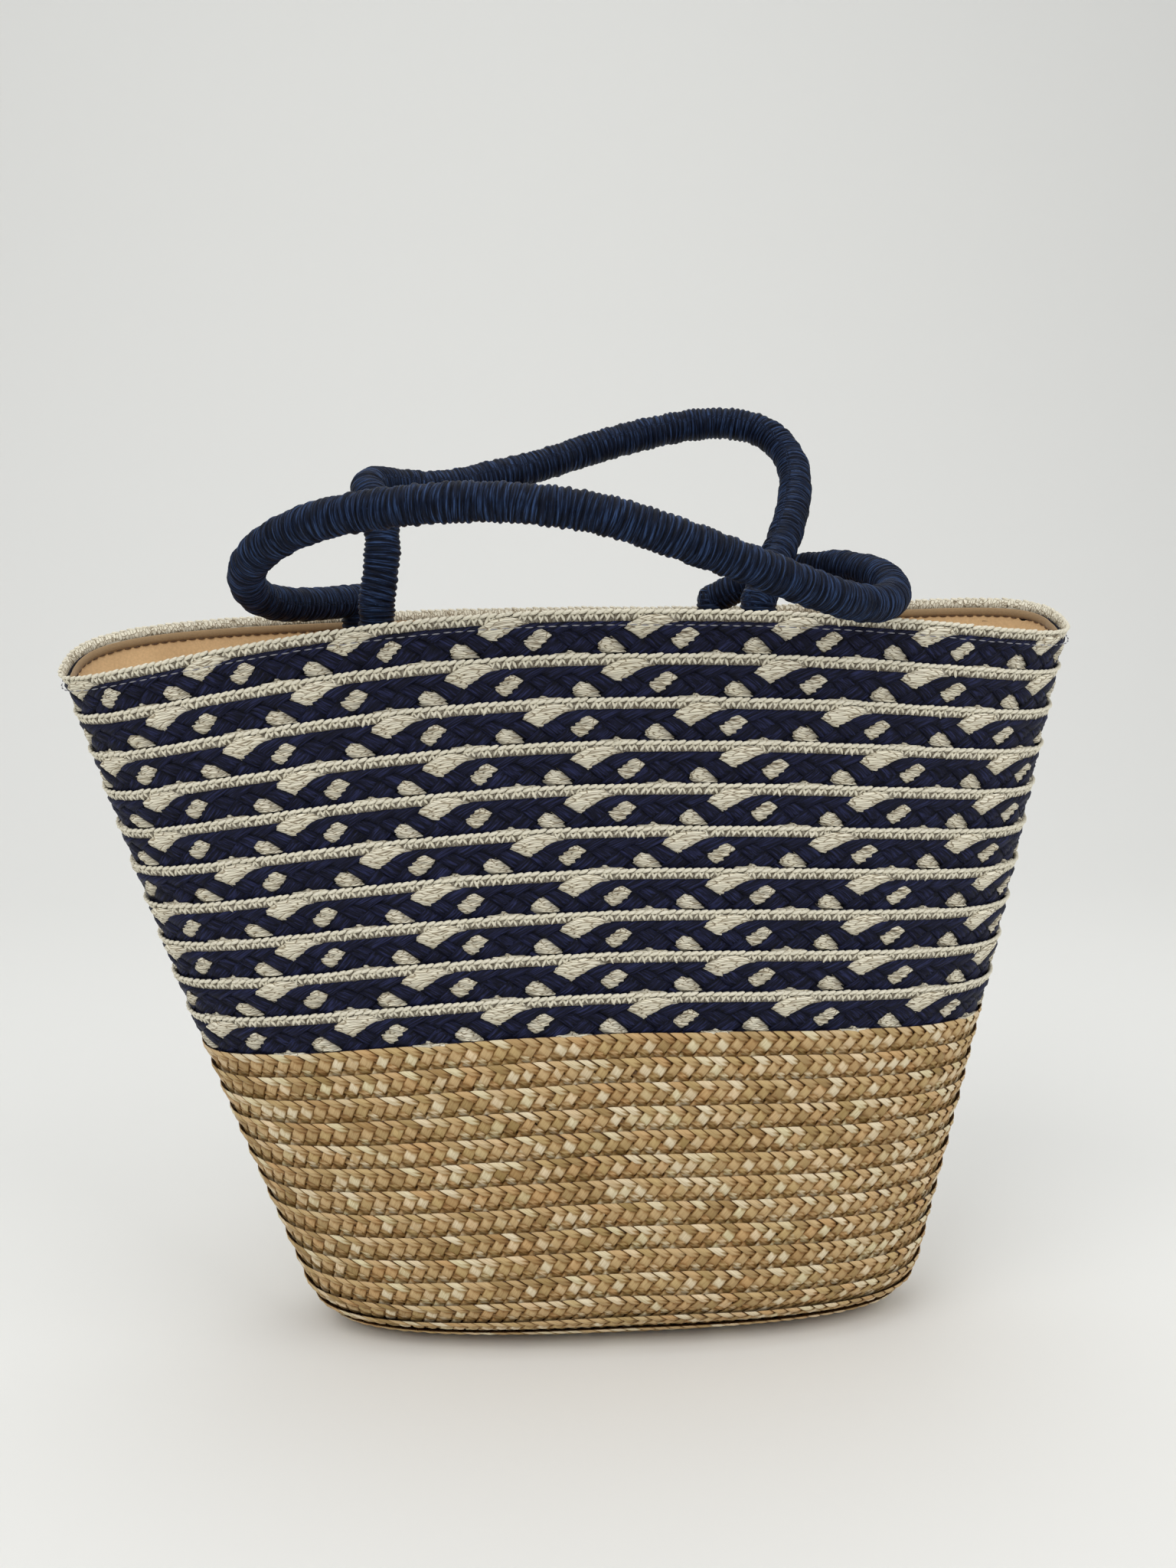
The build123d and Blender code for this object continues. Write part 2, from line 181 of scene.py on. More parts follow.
def wall_middle(rise, angle):
    """Points on the wall's middle surface; rise is 0 at the foot and 1 at the rim."""
    c = np.cos(angle)
    right = c > 0
    base_x, base_y = oval(angle, *BASE_OVAL)
    rim_x, rim_y = oval(angle, np.where(right, RIM_RIGHT, RIM_LEFT), RIM_WIDTH, RIM_SQUARENESS)
    foot_x, foot_y = oval(angle, *FOOT_OVAL)
    flare = np.hypot(rim_x - base_x, rim_y - base_y)
    slant = SLANT * (1 - np.where(right, END_SHORTENING_RIGHT, END_SHORTENING_LEFT) * c * c)
    height = np.sqrt(slant**2 - flare**2)
    turn = np.arccos(flare / slant)
    corner_reach = np.hypot(base_x - foot_x, base_y - foot_y)
    radius = corner_reach / np.tan(turn / 2)
    corner = radius * turn
    travel = rise * (slant - corner_reach + corner)
    bend = np.minimum(travel, corner) / radius
    in_corner = travel < corner
    up_corner = radius * (1 - np.cos(bend))
    up = np.where(in_corner, up_corner, (corner_reach + travel - corner) * height / slant)
    inset = np.where(in_corner, corner_reach - radius * np.sin(bend) + up / height * flare, 0.0)
    share = up / height + WALL_BELLY * 16 * (rise * (1 - rise)) ** 2
    shift = inset / corner_reach
    twist = np.where(right, RIM_TWIST_RIGHT, RIM_TWIST_LEFT)
    lift = twist * np.sin(angle) * np.abs(c) ** TWIST_SHARPNESS * rise**2
    return np.stack(
        [
            base_x + (rim_x - base_x) * share - (base_x - foot_x) * shift,
            base_y + (rim_y - base_y) * share - (base_y - foot_y) * shift,
            PLAIT_THICKNESS + up + lift,
        ],
        axis=-1,
    )


def wall_point(rise, angle, outwards):
    """Points outside the middle surface by a distance measured square to it."""
    step = 0.001
    low, high = np.clip(rise - step, 0, 1), np.clip(rise + step, 0, 1)
    up = wall_middle(high, angle) - wall_middle(low, angle)
    around = wall_middle(rise, angle + step) - wall_middle(rise, angle - step)
    normal = np.cross(around, up)
    normal /= np.linalg.norm(normal, axis=-1, keepdims=True)
    return wall_middle(rise, angle) + normal * np.asarray(outwards)[..., None]


def even_angles(ring):
    """(length, function from share of the way round to angle) for a ring of points over angle."""
    angles = np.linspace(0, 2 * math.pi, 1441)
    points = ring(angles)
    walked = np.concatenate([[0], np.cumsum(np.linalg.norm(np.diff(points, axis=0), axis=1))])
    return walked[-1], lambda share: np.interp(np.mod(share, 1.0), walked / walked[-1], angles)


def leaning(down, pitch):
    """Offset from the wall's middle, in millimetres, of a course that stands out at its top and in below."""
    lean = (PLAIT_THICKNESS + CLEARANCE) * (pitch + COURSE_LAP) / pitch / 2
    return lean * (1 - 2 * np.minimum(down / (pitch + COURSE_LAP), 1.0))


def course_place(first, pitch, leans=True):
    """(length, place) of a wall course: place takes millimetres along, down and out of the plait."""
    top = first + pitch
    length, angle_of = even_angles(lambda a: wall_middle((first + pitch / 2) / NOMINAL_RISE, a))

    def place(along, down, out):
        rise = np.maximum((top - down) / NOMINAL_RISE, 0)
        outwards = out + leaning(down, pitch) if leans else out
        points = wall_point(np.minimum(rise, 1.0), angle_of(along / length), outwards)
        points[..., 2] += np.maximum(-down, 0) * (rise >= 1)
        return points

    return length, place


def foot_place(inner, outer):
    """(length, place) of a flat course of the bottom between two insets from the foot oval."""
    def ring(inset, angle):
        long, wide, squareness = FOOT_OVAL
        x, y = oval(angle, long - inset, max(wide - inset, 0.2), squareness)
        return np.stack([x, y, np.full_like(x, PLAIT_THICKNESS / 2)], axis=-1)

    length, angle_of = even_angles(lambda a: ring((inner + outer) / 2, a))

    def place(along, down, out):
        share = np.clip(down / (outer - inner), -0.05, 1.0)[..., None]
        angle = angle_of(along / length)
        flat = ring(inner, angle) * (1 - share) + ring(outer, angle) * share
        flat[..., 2] -= out * 0.5
        return flat

    return length, place


# ---------------------------------------------------------------- mesh helpers


def row_of_tubes(count, rings, around):
    """(bmesh of count closed unit tubes lying along X, the number of the tube that each vertex is on)."""
    bm = bmesh.new()
    bmesh.ops.create_cone(bm, cap_ends=True, segments=around, radius1=1, radius2=1, depth=1)
    long_edges = [e for e in bm.edges if abs(e.verts[0].co.z - e.verts[1].co.z) > 0.5]
    bmesh.ops.subdivide_edges(bm, edges=long_edges, cuts=rings - 1, use_grid_fill=True)
    for v in bm.verts:
        v.co = Vector((v.co.z + 0.5, v.co.x, v.co.y))
    pattern = bpy.data.meshes.new("tube")
    bm.to_mesh(pattern)
    for _ in range(count - 1):
        bm.from_mesh(pattern)
    number = np.arange(len(bm.verts)) // len(pattern.vertices)
    bpy.data.meshes.remove(pattern)
    return bm, number


def coordinates(bm):
    """The vertices' coordinates, a row for each."""
    return np.array([v.co[:] for v in bm.verts])


def move_to(bm, places):
    """Moves the vertices to their places in millimetres."""
    for vertex, place in zip(bm.verts, (places * MM).tolist()):
        vertex.co = place


def finish_piece(bm, places, name, body, replaced, material, values=None):
    """Moves the vertices to their places in millimetres and makes the finished piece, which rides on a body.

    Values hold a number for each vertex under the names that the materials read.
    """
    move_to(bm, places)
    bmesh.ops.recalc_face_normals(bm, faces=bm.faces)
    mesh = bpy.data.meshes.new(name)
    bm.to_mesh(mesh)
    bm.free()
    for key, numbers in (values or {}).items():
        layer = mesh.attributes.new(key, "FLOAT", "POINT")
        layer.data.foreach_set("value", np.ascontiguousarray(numbers, dtype=np.float32))
    mesh.shade_smooth()
    mesh.materials.append(material)
    piece = bpy.data.objects.new(name, mesh)
    bpy.context.scene.collection.objects.link(piece)
    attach(piece, body)
    if replaced:
        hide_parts(*replaced)
    return piece


# ---------------------------------------------------------------- plait weaving


def crossing_count(share, own_width, crossed_widths):
    """How many strands have been crossed at a share of the way from one fold to the other."""
    edges = np.cumsum([own_width / 2, *crossed_widths]) / (own_width + sum(crossed_widths))
    return np.interp(share, [0, *edges, 1], [0, *(np.arange(len(edges)) + 0.5), len(edges)])


def weave_height(crossed, strands):
    """+1 at odd crossings and -1 at even ones, held level between the outermost crossing and the fold."""
    return -np.cos(math.pi * np.clip(crossed, 1, strands - 1))


def braid(length, widths, repeat, depth, top, down_share, downs_over_first, rings, around, thickness, swing,
          crown, phase, rng, jitter, loosen, fill, ups_higher=0.0, tuck=0.0, strand_pick=None):
    """Strands of a flat braid with folded edges as (bmesh, along, down, out, values).

    Every strand goes down and up again within a repeat, in two legs that meet in the folds. down_share is the
    down leg's part of the repeat, and fill holds the widths of down and up legs as shares of their room.
    swing is how far a strand moves out and in where it crosses another, crown how much it fattens in front,
    and ups_higher how far the up legs lie forward. tuck shortens and raises the cells that a strand shows
    past its first crossing.
    """
    strands = len(widths)
    repeats = max(round(length / repeat), 3)
    step = length / repeats
    slots = [(widths[i - 1] + widths[i]) / 2 for i in range(strands)]
    starts = (np.cumsum(slots) - slots[0]) / sum(slots)
    chosen = strand_pick or range(strands)
    legs = [(turn, strand, up) for turn in range(repeats) for strand in chosen for up in (0, 1)]
    bm, leg = row_of_tubes(len(legs), rings, around)
    unit = coordinates(bm)
    fall, across = unit[:, 0], unit[:, 1]
    turn, strand, up = np.array(legs)[leg].T
    side = np.where(up == 0, 1, -1)
    run = np.where(up == 0, down_share, 1 - down_share) * step
    eased = fall + loosen * np.sin(2 * math.pi * fall) / (2 * math.pi)
    uneven = rng.normal(0, 1, (len(legs), 4))[leg]
    bow = jitter * np.sin(math.pi * fall)
    centre = (turn + starts[strand] + phase) * step + side * run * eased + 1.2 * bow * uneven[:, 1]
    spread = step * np.array(widths)[strand] / sum(widths) * (1 + 0.35 * jitter * uneven[:, 0])
    spread *= np.where(up == 0, *fill)
    sideways = np.sign(across) * np.abs(across) ** 0.8 * spread / 2

    # A strand stays in front of the one it crosses as far as that one's edges, which lie aslant to its own
    level = eased + side * sideways / step
    crossed = np.zeros(len(fall))
    for s in chosen:
        for is_up, order in ((0, 1), (1, -1)):
            here = (strand == s) & (up == is_up)
            others = [widths[(s + order * m) % strands] for m in range(1, strands)]
            crossed[here] = crossing_count(level[here], widths[s], others)
    over_first = np.where(up == 0, downs_over_first, not downs_over_first)
    dive = tuck * (crossed > 1.5)
    height = np.where(over_first, 1, -1) * weave_height(crossed, strands)
    height = np.clip((1.5 + 10 * dive) * (height - dive) - side * ups_higher, -1, 1 + 2.5 * dive)

    from_fold = np.minimum(fall, 1 - fall) * depth
    pinch = np.sqrt(np.clip(from_fold / FOLD_PINCH, 0.02, 1))
    front = np.clip(height, 0, 1)
    out = swing * height * np.minimum(from_fold / FOLD_SOFTNESS, 1)
    out += unit[:, 2] * thickness / 2 * pinch * (1 + crown * front)
    out -= 0.35 * swing * across**2 * front * (dive == 0)
    down = top + fall * depth + 0.5 * bow * uneven[:, 2]

    cell = leg * (strands + 1) + np.round(np.clip(crossed, 1, strands - 1)).astype(int)
    # Painted shade: each strand is darkened along its edges and where it tucks under a neighbour, where shade
    # falls between the strands
    tucked = np.clip(0.45 - height, 0, 1)
    edge_shade = np.clip((np.abs(across) - 0.75) * 4, 0, 1)
    values = {
        "along": fall * np.hypot(depth, run) + 100.0 * leg,
        "across": across * spread * np.sin(np.arctan(depth / run)) / 2,
        "tone": 0.7 * rng.random(len(legs))[leg] + 0.3 * rng.random(len(legs) * (strands + 1))[cell],
        "tint": rng.random(len(legs))[leg],
        "crease": 1 - (1 - 0.7 * edge_shade) * (1 - tucked),
    }
    return bm, centre + sideways, down, out, values


def wander(out, along, down, seed, amount, scale):
    """Adds the slow unevenness of hand work to offsets out of the wall."""
    return out + amount * np.sin(along / scale + seed) * np.cos(down / 6 + 1.7 * seed)


# ---------------------------------------------------------------- materials


WHITE = (1.0, 1.0, 1.0)
MULTIPLY = {"data_type": "RGBA", "blend_type": "MULTIPLY"}


def new_material(name, roughness, specular=0.5):
    """(material, its node tree, its surface shader)."""
    material = bpy.data.materials.new(name)
    material.use_nodes = True
    shader = material.node_tree.nodes["Principled BSDF"]
    shader.inputs["Roughness"].default_value = roughness
    shader.inputs["Specular IOR Level"].default_value = specular
    return material, material.node_tree, shader


def add(tree, kind, settings=None, **links):
    """Adds a node with its settings and links.

    Each link gives an input, by its name or by its number as at0, a socket, a node's first output or a value.
    """
    node = tree.nodes.new(f"ShaderNode{kind}")
    for key, value in (settings or {}).items():
        if key == "stops":
            for _ in value[2:]:
                node.color_ramp.elements.new(1.0)
            for element, (position, colour) in zip(node.color_ramp.elements, value):
                element.position = position
                element.color = (*colour, 1)
        else:
            setattr(node, key, value)
    for key, value in links.items():
        socket = node.inputs[int(key[2:]) if key.startswith("at") else key.replace("_", " ")]
        if isinstance(value, bpy.types.Node):
            value = value.outputs[0]
        if isinstance(value, bpy.types.NodeSocket):
            tree.links.new(value, socket)
        else:
            socket.default_value = value
    return node


def strand_place(tree):
    """Place on a strand in millimetres as (along, across), with a number of its own for each strand."""
    names = ("along", "across", "tone")
    along, across, tone = (add(tree, "Attribute", {"attribute_name": name}).outputs["Fac"] for name in names)
    return add(tree, "CombineXYZ", X=along, Y=across, Z=tone)


def straw_material(colours):
    """Split wheat straw: satin, fine fibres along each straw, a tone of its own for each, and painted shade
    along its edges and where it tucks under.
    """
    material, tree, shader = new_material("wheat_straw", 0.5, 0.35)
    strand = strand_place(tree)
    tone = add(tree, "Attribute", {"attribute_name": "tone"})
    tint = add(tree, "Attribute", {"attribute_name": "tint"})
    crease = add(tree, "Attribute", {"attribute_name": "crease"})
    shades = add(tree, "ValToRGB", {"stops": [
        (0.1, colours.straw_dark), (0.36, colours.straw_mid),
        (0.6, colours.straw_mid), (0.72, colours.straw_light)]}, Fac=tone.outputs["Fac"])
    tints = add(tree, "ValToRGB", {"stops": [
        (0.0, (0.93, 0.95, 0.84)), (0.45, WHITE), (0.7, WHITE), (1.0, (1.0, 0.90, 0.80))]},
        Fac=tint.outputs["Fac"])
    fibres = add(tree, "TexNoise", None, Vector=add(tree, "Mapping", Vector=strand, Scale=(0.12, 3.2, 9.0)),
                 Scale=1.0, Detail=4.0)
    streaks = add(tree, "ValToRGB", {"stops": [(0.3, (0.74, 0.68, 0.58)), (0.62, WHITE)]}, Fac=fibres)
    # Painted shade: the straw's colour is darkened along its edges and where it tucks under
    painted_shade_ramp = add(tree, "ValToRGB", {"stops": [
        (0.0, WHITE), (0.5, (0.56, 0.43, 0.26)), (1.0, (0.10, 0.05, 0.02))]}, Fac=crease.outputs["Fac"])
    tinted = add(tree, "Mix", MULTIPLY, at0=1.0, at6=shades, at7=tints)
    streaked = add(tree, "Mix", MULTIPLY, at0=1.0, at6=tinted.outputs[2], at7=streaks)
    shaded_colour = add(tree, "Mix", MULTIPLY, at0=1.0, at6=streaked.outputs[2], at7=painted_shade_ramp)
    tree.links.new(shaded_colour.outputs[2], shader.inputs["Base Color"])
    relief = add(tree, "Bump", Height=fibres, Strength=0.5, Distance=0.15 * MM)
    tree.links.new(relief.outputs[0], shader.inputs["Normal"])
    return material


def navy_material(name, dark, light, specular):
    """Dyed twisted paper: a matt to satin ribbon with fine lengthwise creases, painted paler on their ridges
    as highlight and darker in their hollows as shade, and painted shade in its crevices.
    """
    material, tree, shader = new_material(name, 0.48, specular)
    strand = strand_place(tree)
    crease = add(tree, "Attribute", {"attribute_name": "crease"})
    folds = add(tree, "TexNoise", None, Vector=add(tree, "Mapping", Vector=strand, Scale=(0.10, 1.7, 9.0)),
                Scale=1.0, Detail=6.0, Roughness=0.62)
    # Painted highlight and shade: the folds' ridges take the paler highlight colour, and their hollows a
    # quarter of the dye's brightness
    dyed = add(tree, "ValToRGB", {"stops": [
        (0.34, tuple(0.25 * c for c in dark)), (0.5, dark), (0.66, light)]}, Fac=folds)
    # Painted shade: darkens the paper where strands tuck under and in the grooves between the rope's turns
    painted_shade_ramp = add(tree, "ValToRGB", {"stops": [(0.0, WHITE), (1.0, (0.03, 0.03, 0.05))]},
                 Fac=crease.outputs["Fac"])
    shaded_colour = add(tree, "Mix", MULTIPLY, at0=1.0, at6=dyed, at7=painted_shade_ramp)
    tree.links.new(shaded_colour.outputs[2], shader.inputs["Base Color"])
    relief = add(tree, "Bump", Height=folds, Strength=0.9, Distance=0.6 * MM)
    tree.links.new(relief.outputs[0], shader.inputs["Normal"])
    return material


def cream_material(colours):
    """Crocheted paper yarn: matt cream petals of yarn with painted shade as dark lines and holes between
    them, and painted shade where it tucks under.
    """
    material, tree, shader = new_material("crocheted_paper_yarn", 0.75, 0.3)
    strand = strand_place(tree)
    loops = add(tree, "Attribute", {"attribute_name": "loops"})
    crease = add(tree, "Attribute", {"attribute_name": "crease"})
    cloud_place = add(tree, "Mapping", Vector=strand, Scale=(0.03, 0.1, 9.0))
    slow = add(tree, "TexNoise", None, Vector=cloud_place, Scale=1.0)
    base = add(tree, "Mix", {"data_type": "RGBA"}, at0=slow, at6=(*colours.cream, 1),
               at7=(*colours.cream_dark, 1))
    petal_place = add(tree, "Mapping", Vector=strand, Scale=(0.7, 0.34, 0.0))
    petals = add(tree, "TexVoronoi", {"feature": "DISTANCE_TO_EDGE"}, Vector=petal_place, Scale=1.0,
                 Randomness=0.8)
    # Painted shade: dark lines and holes between the yarn's petals, where shade falls into the gaps
    lines = add(tree, "ValToRGB", {"stops": [
        (0.0, (0.12, 0.10, 0.09)), (0.03, (0.50, 0.45, 0.38)), (0.11, WHITE)]}, Fac=petals)
    # Painted shade where the yarn tucks under and along the edges of the chain's loops
    painted_shade_ramp = add(tree, "ValToRGB", {"stops": [(0.0, WHITE), (1.0, (0.16, 0.14, 0.13))]},
                 Fac=crease.outputs["Fac"])
    looped = add(tree, "Mix", MULTIPLY, at0=loops.outputs["Fac"], at6=base.outputs[2], at7=lines)
    shaded_colour = add(tree, "Mix", MULTIPLY, at0=1.0, at6=looped.outputs[2], at7=painted_shade_ramp)
    tree.links.new(shaded_colour.outputs[2], shader.inputs["Base Color"])
    relief = add(tree, "Bump", Height=petals, Strength=0.8, Distance=1.2 * MM)
    tree.links.new(relief.outputs[0], shader.inputs["Normal"])
    return material


def lining_material(name, colour):
    """Plain-woven cotton lining: matt, with a fine thread grid drawn coarse enough to show."""
    material, tree, shader = new_material(name, 0.85, 0.3)
    position = add(tree, "TexCoord").outputs["Object"]
    threads = add(tree, "TexNoise", None, Vector=position, Scale=900.0)
    cloud = add(tree, "TexNoise", None, Vector=position, Scale=14.0)
    tone = add(tree, "Mix", {"data_type": "RGBA"}, at0=cloud, at6=(*(0.82 * c for c in colour), 1),
               at7=(*colour, 1))
    grain = add(tree, "ValToRGB", {"stops": [(0.3, (0.86, 0.85, 0.84)), (0.7, WHITE)]}, Fac=threads)
    grained = add(tree, "Mix", MULTIPLY, at0=1.0, at6=tone.outputs[2], at7=grain)
    tree.links.new(grained.outputs[2], shader.inputs["Base Color"])
    shader.inputs["Sheen Weight"].default_value = 0.25
    relief = add(tree, "Bump", Height=threads, Strength=0.35, Distance=0.2 * MM)
    tree.links.new(relief.outputs[0], shader.inputs["Normal"])
    return material


def thread_material(name, hex_colour):
    """Polyester sewing thread: slightly glossy, with a faint twist."""
    material, tree, shader = new_material(name, 0.5)
    position = add(tree, "TexCoord").outputs["Object"]
    twist = add(tree, "TexNoise", None, Vector=position, Scale=1500.0)
    colour = linear(hex_colour)
    tone = add(tree, "Mix", {"data_type": "RGBA"}, at0=twist, at6=(*(0.8 * c for c in colour), 1),
               at7=(*colour, 1))
    tree.links.new(tone.outputs[2], shader.inputs["Base Color"])
    return material


MATERIALS = {}


def finishes():
    """The basket's materials, made once."""
    if not MATERIALS:
        colours = bpy.context.scene.basket_colours
        MATERIALS["straw"] = straw_material(colours)
        MATERIALS["navy"] = navy_material("twisted_paper_navy", colours.navy, colours.navy_highlight, 0.12)
        MATERIALS["rope"] = navy_material("rope_wrap_navy", colours.rope, colours.rope_highlight, 0.12)
        MATERIALS["cream"] = cream_material(colours)
        MATERIALS["lining"] = lining_material("cotton_lining", colours.lining)
        # Painted shade: the hem is the lining cloth, darkened to about half as the shade under its rolled
        # fold
        MATERIALS["hem"] = lining_material("cotton_hem_painted_shade", [0.46 * c for c in colours.lining])
        MATERIALS["brown_thread"] = thread_material("brown_sewing_thread", "#5a3d28")
        MATERIALS["pale_thread"] = thread_material("pale_sewing_thread", "#85858c")
    return MATERIALS


# ---------------------------------------------------------------- pieces


def straw_course(name, node, length, place, seed, depth_scale=1.0):
    """One turn of straw plait, in the wall or in the bottom."""
    sizes = bpy.context.scene.basket_sizes
    rng = np.random.default_rng(sizes.seed * 1000 + seed)
    bm, along, down, out, values = braid(
        length, [1] * 5, sizes.straw_repeat / MM, sizes.straw_depth / MM * depth_scale, 0.0, 0.64, True,
        rings=9, around=8, thickness=0.9, swing=0.55, crown=0.35, phase=rng.random(), rng=rng,
        jitter=0.2, loosen=0.1, fill=(0.98, 0.98), ups_higher=0.7)
    out = wander(out, along, down, seed, 0.12, 37)
    places = place(along, down + 0.15 * np.sin(along / 9.0 + seed), out)
    finish_piece(bm, places, name, "basket", [node], finishes()["straw"], values)


def paper_course(number, phase):
    """One turn of paper plait: four navy strands and a cream one, with a crochet chain along the top."""
    sizes = bpy.context.scene.basket_sizes
    length, place = course_place(STRAW_COURSES * STRAW_PITCH + (number - 1) * PAPER_PITCH, PAPER_PITCH)
    rng = np.random.default_rng(sizes.seed * 2000 + number)
    navy, cream = sizes.navy_width / MM, sizes.cream_width / MM
    shared = dict(length=length, widths=[cream, navy, navy, navy, navy], repeat=sizes.paper_repeat / MM,
                  depth=sizes.paper_depth / MM, top=CHAIN_DEPTH, down_share=0.5, downs_over_first=False,
                  phase=phase, loosen=0.35, rng=rng)
    bm, along, down, out, values = braid(
        **shared, rings=12, around=10, thickness=1.5, swing=0.62, crown=0.45, jitter=0.16,
        fill=(1.03, 1.3), strand_pick=(1, 2, 3, 4))
    out = wander(out, along, down, number, 0.15, 41)
    finish_piece(bm, place(along, down, out), f"navy_plait_course_{number:02d}", "basket",
                 [f"paper_wall_course_{number:02d}"], finishes()["navy"], values)

    bm, along, down, out, values = braid(
        **shared, rings=28, around=12, thickness=1.1, swing=0.66, crown=0.3, jitter=0.06,
        fill=(1.03, 1.12), tuck=0.4, strand_pick=(0,))
    # Upper folds swell into fans under the chain, and lower folds are drawn up to show above the next course
    middle = 1 - np.clip(2 * values["across"] / cream, -1, 1) ** 2
    fan = np.clip(1 - (down - CHAIN_DEPTH) / FAN_DEPTH, 0, 1) * middle
    lower_fold = np.clip((down - LOWER_FOLD) / 3.0, 0, 1)
    down = down - 3.0 * fan - 3.2 * lower_fold
    out = out + 1.3 * fan + 0.6 * lower_fold
    values["along"] += 0.5 * np.abs(values["across"])
    # Less painted shade on the cream strand than on the navy ones
    values["crease"] *= 0.6
    values["loops"] = np.ones_like(down)
    finish_piece(bm, place(along, down, out), f"cream_plait_course_{number:02d}", "basket",
                 [], finishes()["cream"], values)
    chain_edge(number, length, place)
    chain_backing(number, length, place)


def chain_edge(number, length, place):
    """Crochet chain along a course's top: slanted loops above, and a fringe of short loops below."""
    sizes = bpy.context.scene.basket_sizes
    loops = round(length / (sizes.chain_pitch / MM))
    pitch = length / loops
    rng = np.random.default_rng(sizes.seed * 3000 + number)
    bm, index = row_of_tubes(loops * 3, 3, 6)
    share, across, lift = coordinates(bm).T
    # Kind 0 is the chain, and kinds 1 and 2 are the two slants of the fringe
    kind, at = np.divmod(index, loops)
    chain = kind == 0
    shake = rng.normal(0, 1, (loops * 3, 3))[index]
    round_off = np.sqrt(np.clip(1 - (2 * share - 1) ** 2 * 0.82, 0.05, 1))
    slant = np.array([3.9, 1.5, -1.3])[kind]
    reach = np.where(chain, 1.9, 2.9 + 0.35 * shake[:, 2])
    wide = across * np.where(chain, 1.2, 0.78 + 0.08 * shake[:, 0]) * round_off
    offset = np.where(kind == 2, 0.5, 0.0) + np.where(chain, 0.0, 0.1 + 0.12 * (-1) ** at)
    along = (at + offset) * pitch - slant * (share - 0.5) + wide + 0.12 * shake[:, 0]
    down = np.where(chain, 0.2 + 0.5 * wide, 1.9) + reach * share + 0.12 * shake[:, 1]
    out = 0.35 + np.where(chain, 0.25 + lift * round_off, 0.6 * lift * round_off) + 0.06 * shake[:, 2]
    # Painted shade along the edges of each chain loop
    values = {"along": share * 3 + 7 * index, "across": across, "tone": rng.random(loops * 3)[index],
              "crease": 0.5 * np.clip(np.abs(across) * 1.6 - 0.9, 0, 1)}
    finish_piece(bm, place(along, down, out), f"chain_edge_course_{number:02d}", "basket",
                 [], finishes()["cream"], values)


def chain_backing(number, length, place):
    """Flat crochet strip behind a course's chain, painted dark on the outside as the shade in the gaps
    between the fringe loops.
    """
    bm, _ = row_of_tubes(1, 240, 6)
    share, across, lift = coordinates(bm).T
    along = share * length
    # Painted shade: dark on the outside, where it shows between the fringe loops, and nearly none on the
    # inside
    values = {"along": along, "across": 3 * across, "tone": 0.5 * np.ones_like(along),
              "loops": np.ones_like(along), "crease": np.where(lift > 0, 0.75, 0.05)}
    finish_piece(bm, place(along, 3.3 + 2.6 * across, 0.35 * lift), f"chain_backing_course_{number:02d}",
                 "basket", [], finishes()["cream"], values)


def rope_line(name, route):
    """Points along the smooth line of a rope, in metres, evenly spaced."""
    curve = bpy.data.curves.new(name, "CURVE")
    curve.dimensions = "3D"
    curve.resolution_u = 24
    spline = curve.splines.new("NURBS")
    spline.points.add(len(route) - 1)
    for point, place in zip(spline.points, route):
        point.co = (*(MM * c for c in place), 1)
    spline.order_u = 3
    spline.use_endpoint_u = True
    holder = bpy.data.objects.new(name, curve)
    bpy.context.scene.collection.objects.link(holder)
    bpy.context.view_layer.update()
    line = bpy.data.meshes.new_from_object(holder.evaluated_get(bpy.context.evaluated_depsgraph_get()))
    points = np.array([v.co[:] for v in line.vertices])
    bpy.data.objects.remove(holder)
    bpy.data.curves.remove(curve)
    bpy.data.meshes.remove(line)
    return points


def carry_frame(points):
    """Two unit sideways directions along a line, carried along it without twisting."""
    tangents = np.gradient(points, axis=0)
    tangents /= np.linalg.norm(tangents, axis=1, keepdims=True)
    sideways = [np.cross(tangents[0], [0.3, 0.2, 1.0])]
    sideways[0] /= np.linalg.norm(sideways[0])
    for tangent in tangents[1:]:
        next_side = sideways[-1] - tangent * np.dot(sideways[-1], tangent)
        sideways.append(next_side / np.linalg.norm(next_side))
    sideways = np.array(sideways)
    return sideways, np.cross(tangents, sideways)


